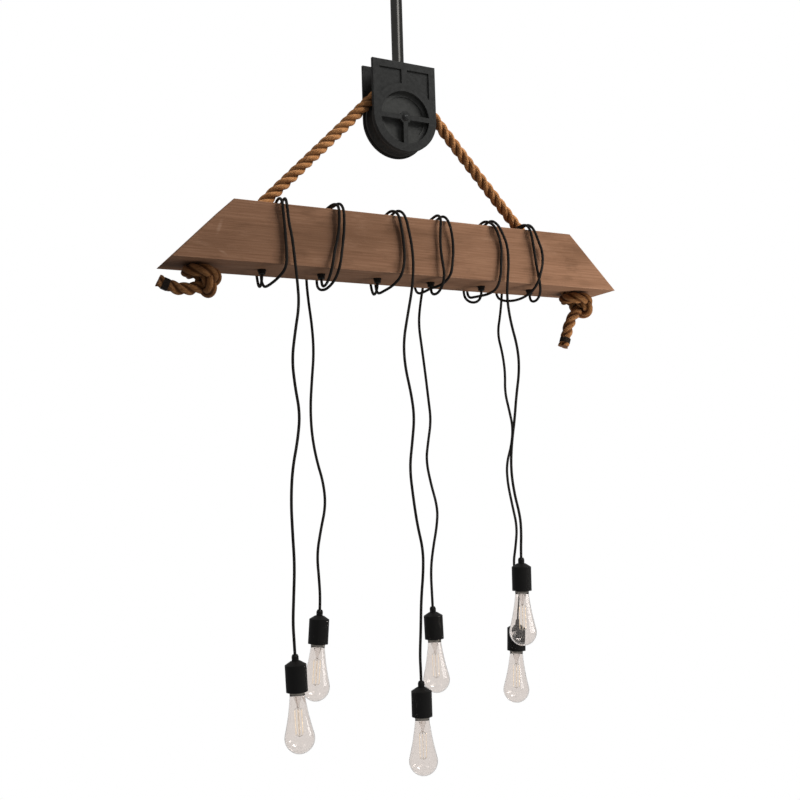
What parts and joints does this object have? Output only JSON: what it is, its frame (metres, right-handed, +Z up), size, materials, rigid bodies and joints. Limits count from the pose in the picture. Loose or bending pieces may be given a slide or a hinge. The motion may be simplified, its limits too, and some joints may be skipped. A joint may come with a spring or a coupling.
{
  "type": "wood beam pendant light",
  "caption": "Mitred timber beam hung on a rope over a pulley block, with bare filament bulbs on cords wound round the beam, for lighting a table from the ceiling.",
  "frame": {"origin": "middle of the ceiling face, between the two ceiling-box screw holes of the mounting bar", "axes": "+Z up into the ceiling, +X along the timber beam to the right seen from the front, -Y towards the front, where lamps one, three and five hang"},
  "size_m": [1.0985, 0.204, 1.776],
  "materials": {
    "timber": "stained, matte",
    "manila": "laid rope",
    "whipping_thread": "wound thread",
    "pulley_iron": "matte cast",
    "dark_paint": "satin",
    "dark_steel": "gloss",
    "plated_steel": "plated",
    "axle_steel": "polished",
    "bronze": "turned",
    "cord_sheath": "matte",
    "black_plastic": "satin",
    "pale_plastic": "moulded",
    "bulb_metal": "satin",
    "clear_glass": "clear"
  },
  "bodies": {
    "hanger": {"canopy": "dark_paint", "mounting_bar": "plated_steel", "stem": "dark_steel", "stem_collar": "dark_steel", "collar_screw": "plated_steel", "head_block": "pulley_iron", "front_cheek": "pulley_iron", "rear_cheek": "pulley_iron", "cheek_screws": "plated_steel", "axle_pin": "axle_steel", "axle_nut": "plated_steel"},
    "pulley_wheel": {"sheave": "pulley_iron", "sheave_bush": "bronze"},
    "timber_beam": {"beam": "timber", "channel_cover": "timber", "cover_screws": "plated_steel", "rope": "manila", "left_knot": "manila", "right_knot": "manila", "rope_whippings": "whipping_thread", "cord_glands": "black_plastic", "gland_nuts": "black_plastic", "terminal_block": "pale_plastic", "inner_leads": "cord_sheath", "cord_1_wrap": "cord_sheath", "cord_2_wrap": "cord_sheath", "cord_3_wrap": "cord_sheath", "cord_4_wrap": "cord_sheath", "cord_5_wrap": "cord_sheath", "cord_6_wrap": "cord_sheath"},
    "pendant_1": {"cord_1_drop": "cord_sheath", "socket_1_cap": "black_plastic", "socket_1_shell": "black_plastic"},
    "bulb_1": {"bulb_1_base": "bulb_metal", "bulb_1_glass": "clear_glass"},
    "pendant_2": {"cord_2_drop": "cord_sheath", "socket_2_cap": "black_plastic", "socket_2_shell": "black_plastic"},
    "bulb_2": {"bulb_2_base": "bulb_metal", "bulb_2_glass": "clear_glass"},
    "pendant_3": {"cord_3_drop": "cord_sheath", "socket_3_cap": "black_plastic", "socket_3_shell": "black_plastic"},
    "bulb_3": {"bulb_3_base": "bulb_metal", "bulb_3_glass": "clear_glass"},
    "pendant_4": {"cord_4_drop": "cord_sheath", "socket_4_cap": "black_plastic", "socket_4_shell": "black_plastic"},
    "bulb_4": {"bulb_4_base": "bulb_metal", "bulb_4_glass": "clear_glass"},
    "pendant_5": {"cord_5_drop": "cord_sheath", "socket_5_cap": "black_plastic", "socket_5_shell": "black_plastic"},
    "bulb_5": {"bulb_5_base": "bulb_metal", "bulb_5_glass": "clear_glass"},
    "pendant_6": {"cord_6_drop": "cord_sheath", "socket_6_cap": "black_plastic", "socket_6_shell": "black_plastic"},
    "bulb_6": {"bulb_6_base": "bulb_metal", "bulb_6_glass": "clear_glass"}
  },
  "joints": [
    {"name": "beam_swing", "type": "hinge", "parent": "hanger", "child": "timber_beam", "pos_m": [0, 0, -0.3544], "axis": [0, 1, 0], "range_deg": [-10, 10]},
    {"name": "sheave_turn", "type": "hinge", "parent": "hanger", "child": "pulley_wheel", "pos_m": [0, 0, -0.3544], "axis": [0, 1, 0], "range_deg": [-10, 10]},
    {"name": "pendant_1_swing", "type": "hinge", "parent": "timber_beam", "child": "pendant_1", "pos_m": [-0.302, -0.072, -0.612], "axis": [0, 1, 0], "range_deg": [-5, 5]},
    {"name": "bulb_1_unscrew", "type": "slide", "parent": "pendant_1", "child": "bulb_1", "axis": [0.0419, 0, -0.9991], "range_m": [0, 0.03]},
    {"name": "pendant_2_swing", "type": "hinge", "parent": "timber_beam", "child": "pendant_2", "pos_m": [-0.197, 0.072, -0.612], "axis": [0, 1, 0], "range_deg": [-5, 5]},
    {"name": "bulb_2_unscrew", "type": "slide", "parent": "pendant_2", "child": "bulb_2", "axis": [-0.0819, 0, -0.9966], "range_m": [0, 0.03]},
    {"name": "pendant_3_swing", "type": "hinge", "parent": "timber_beam", "child": "pendant_3", "pos_m": [-0.026, -0.072, -0.612], "axis": [0, 1, 0], "range_deg": [-5, 5]},
    {"name": "bulb_3_unscrew", "type": "slide", "parent": "pendant_3", "child": "bulb_3", "axis": [0, 0, -1], "range_m": [0, 0.03]},
    {"name": "pendant_4_swing", "type": "hinge", "parent": "timber_beam", "child": "pendant_4", "pos_m": [0.087, 0.072, -0.612], "axis": [0, 1, 0], "range_deg": [-3.5, 5]},
    {"name": "bulb_4_unscrew", "type": "slide", "parent": "pendant_4", "child": "bulb_4", "axis": [0.0262, 0, -0.9997], "range_m": [0, 0.03]},
    {"name": "pendant_5_swing", "type": "hinge", "parent": "timber_beam", "child": "pendant_5", "pos_m": [0.231, -0.072, -0.662], "axis": [0, 1, 0], "range_deg": [-5, 5]},
    {"name": "bulb_5_unscrew", "type": "slide", "parent": "pendant_5", "child": "bulb_5", "axis": [-0.0157, 0, -0.9999], "range_m": [0, 0.03]},
    {"name": "pendant_6_swing", "type": "hinge", "parent": "timber_beam", "child": "pendant_6", "pos_m": [0.306, 0.072, -0.612], "axis": [0, 1, 0], "range_deg": [-5, 3.5]},
    {"name": "bulb_6_unscrew", "type": "slide", "parent": "pendant_6", "child": "bulb_6", "axis": [-0.0471, 0, -0.9989], "range_m": [0, 0.03]}
  ],
  "couplings": [
    {"joint": "sheave_turn", "follows": "beam_swing", "ratio": 1}
  ]
}
